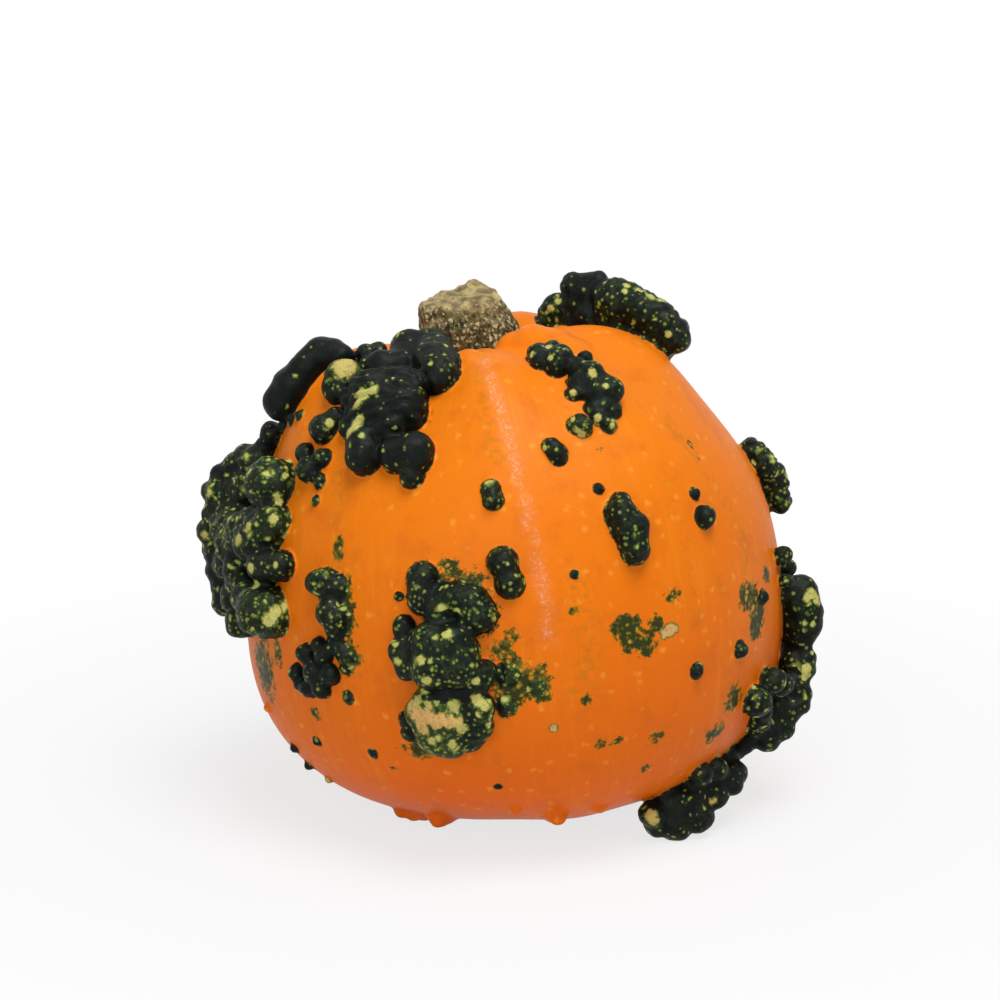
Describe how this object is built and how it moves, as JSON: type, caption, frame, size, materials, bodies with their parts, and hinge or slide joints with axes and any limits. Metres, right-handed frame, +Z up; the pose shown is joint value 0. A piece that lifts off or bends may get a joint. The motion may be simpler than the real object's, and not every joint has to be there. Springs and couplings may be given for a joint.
{
  "type": "mini pumpkin",
  "caption": "Small round orange pumpkin with dark green warts heaped on its rind and a corky lobed stem stub, resting on its blossom end.",
  "frame": {"origin": "on the surface that the pumpkin rests on, below the middle of its overall box", "axes": "+Z up, stem on top; -Y towards the side that is shown; +X to the right of that side"},
  "size_m": [0.1482, 0.136, 0.1228],
  "materials": {
    "rind": "waxy satin skin, orange with near-black green warts",
    "stem": "dry, corky, cut off square"
  },
  "bodies": {
    "root": {"fruit": "rind", "stem": "stem"}
  },
  "joints": []
}
